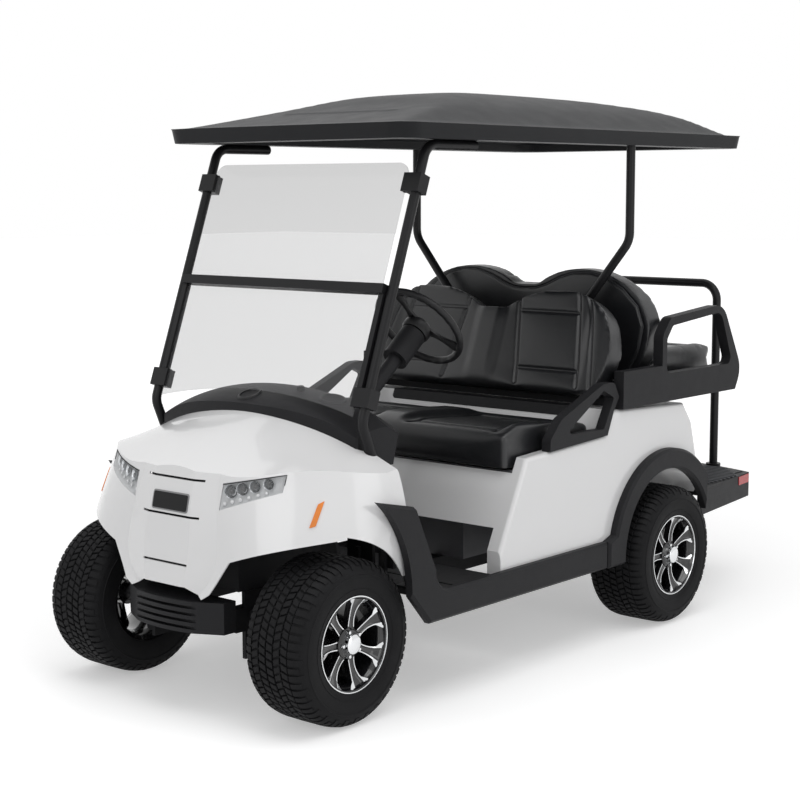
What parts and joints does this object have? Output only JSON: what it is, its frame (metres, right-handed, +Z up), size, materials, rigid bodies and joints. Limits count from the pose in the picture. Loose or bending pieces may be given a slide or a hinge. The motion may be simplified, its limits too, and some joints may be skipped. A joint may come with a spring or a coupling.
{
  "type": "golf cart",
  "caption": "Open passenger golf cart with front bench, rear-facing bench, canopy roof, folding windscreen and rear step",
  "frame": {"origin": "on the ground under the middle of the cart", "axes": "+X towards the front bumper, +Y to the driver's left, +Z up"},
  "size_m": [2.8219, 1.316, 1.934],
  "materials": {
    "white_body": "glossy moulded-in white",
    "black_trim": "fine-grained matt black",
    "roof_black": "satin charcoal",
    "powder_black": "satin black powder coat",
    "chassis_black": "semi-gloss black paint",
    "cast_dark": "bare casting",
    "spring_steel": "dark rolled steel",
    "vinyl_black": "soft grained vinyl",
    "tyre_black": "matt rubber",
    "rim_black": "gloss black with machined edges",
    "floor_mat": "ribbed rubber mat",
    "screen_clear": "clear glazing",
    "lamp_clear": "clear lens over reflectors",
    "lamp_red": "red lens",
    "battery_case": "moulded case",
    "grip_black": "soft grip"
  },
  "bodies": {
    "chassis": {"frame": "chassis_black", "battery_pack": "battery_case", "rear_axle": "cast_dark", "rear_springs": "spring_steel", "front_arms": "chassis_black", "front_shocks": "spring_steel", "floor_pan": "floor_mat", "front_underbody": "black_trim", "front_bumper": "black_trim", "front_cowl": "white_body", "headlights": "lamp_clear", "dash": "black_trim", "side_sill_left": "black_trim", "side_sill_right": "black_trim", "rear_flare_left": "black_trim", "rear_flare_right": "black_trim", "rear_body": "white_body", "tail_lamps": "lamp_red", "seat_hinge_pin": "spring_steel", "front_seat_back": "vinyl_black", "hip_restraint_left": "black_trim", "hip_restraint_right": "black_trim", "seat_frame": "powder_black", "rear_seat_base": "black_trim", "rear_seat_back": "vinyl_black", "rear_seat_cushion": "vinyl_black", "rear_step": "black_trim", "rear_grab_bar": "powder_black", "roof": "roof_black", "front_post_left": "powder_black", "front_post_right": "powder_black", "windscreen_upper": "screen_clear", "windscreen_lower": "screen_clear", "windscreen_frame": "powder_black", "steering_column": "black_trim", "pedals": "powder_black"},
    "knuckle_left": {"knuckle_left": "cast_dark"},
    "knuckle_right": {"knuckle_right": "cast_dark"},
    "tie_rod": {"tie_rod": "spring_steel"},
    "steering_wheel": {"steering_wheel": "grip_black"},
    "seat_lid": {"front_seat_cushion": "vinyl_black"},
    "front_left_wheel": {"front_left_tyre": "tyre_black", "front_left_rim": "rim_black"},
    "front_right_wheel": {"front_right_tyre": "tyre_black", "front_right_rim": "rim_black"},
    "rear_left_wheel": {"rear_left_tyre": "tyre_black", "rear_left_rim": "rim_black"},
    "rear_right_wheel": {"rear_right_tyre": "tyre_black", "rear_right_rim": "rim_black"}
  },
  "joints": [
    {"name": "steer_left", "type": "hinge", "parent": "chassis", "child": "knuckle_left", "pos_m": [1.149, 0.396, 0.254], "axis": [0, 0, 1], "range_deg": [-25, 25]},
    {"name": "steer_right", "type": "hinge", "parent": "chassis", "child": "knuckle_right", "pos_m": [1.149, -0.396, 0.254], "axis": [0, 0, 1], "range_deg": [-25, 25]},
    {"name": "tie_rod_shift", "type": "slide", "parent": "chassis", "child": "tie_rod", "axis": [0, 1, 0], "range_m": [-0.029, 0.029]},
    {"name": "steering_wheel_turn", "type": "hinge", "parent": "chassis", "child": "steering_wheel", "pos_m": [0.465, 0.24, 1.139], "axis": [-0.7771, 0, 0.6293], "range_deg": [-300, 300]},
    {"name": "seat_lid_hinge", "type": "hinge", "parent": "chassis", "child": "seat_lid", "pos_m": [0.357, 0, 0.668], "axis": [0, 1, 0], "range_deg": [0, 50]},
    {"name": "front_left_spin", "type": "hinge", "parent": "knuckle_left", "child": "front_left_wheel", "pos_m": [1.149, 0.455, 0.254], "axis": [0, 1, 0], "continuous": true},
    {"name": "front_right_spin", "type": "hinge", "parent": "knuckle_right", "child": "front_right_wheel", "pos_m": [1.149, -0.455, 0.254], "axis": [0, 1, 0], "continuous": true},
    {"name": "rear_left_spin", "type": "hinge", "parent": "chassis", "child": "rear_left_wheel", "pos_m": [-0.515, 0.541, 0.254], "axis": [0, 1, 0], "continuous": true},
    {"name": "rear_right_spin", "type": "hinge", "parent": "chassis", "child": "rear_right_wheel", "pos_m": [-0.515, -0.541, 0.254], "axis": [0, 1, 0], "continuous": true}
  ],
  "couplings": [
    {"joint": "steer_right", "follows": "steer_left", "ratio": 1},
    {"joint": "tie_rod_shift", "follows": "steer_left", "m_per_rad": -0.064},
    {"joint": "steering_wheel_turn", "follows": "steer_left", "ratio": 12}
  ]
}
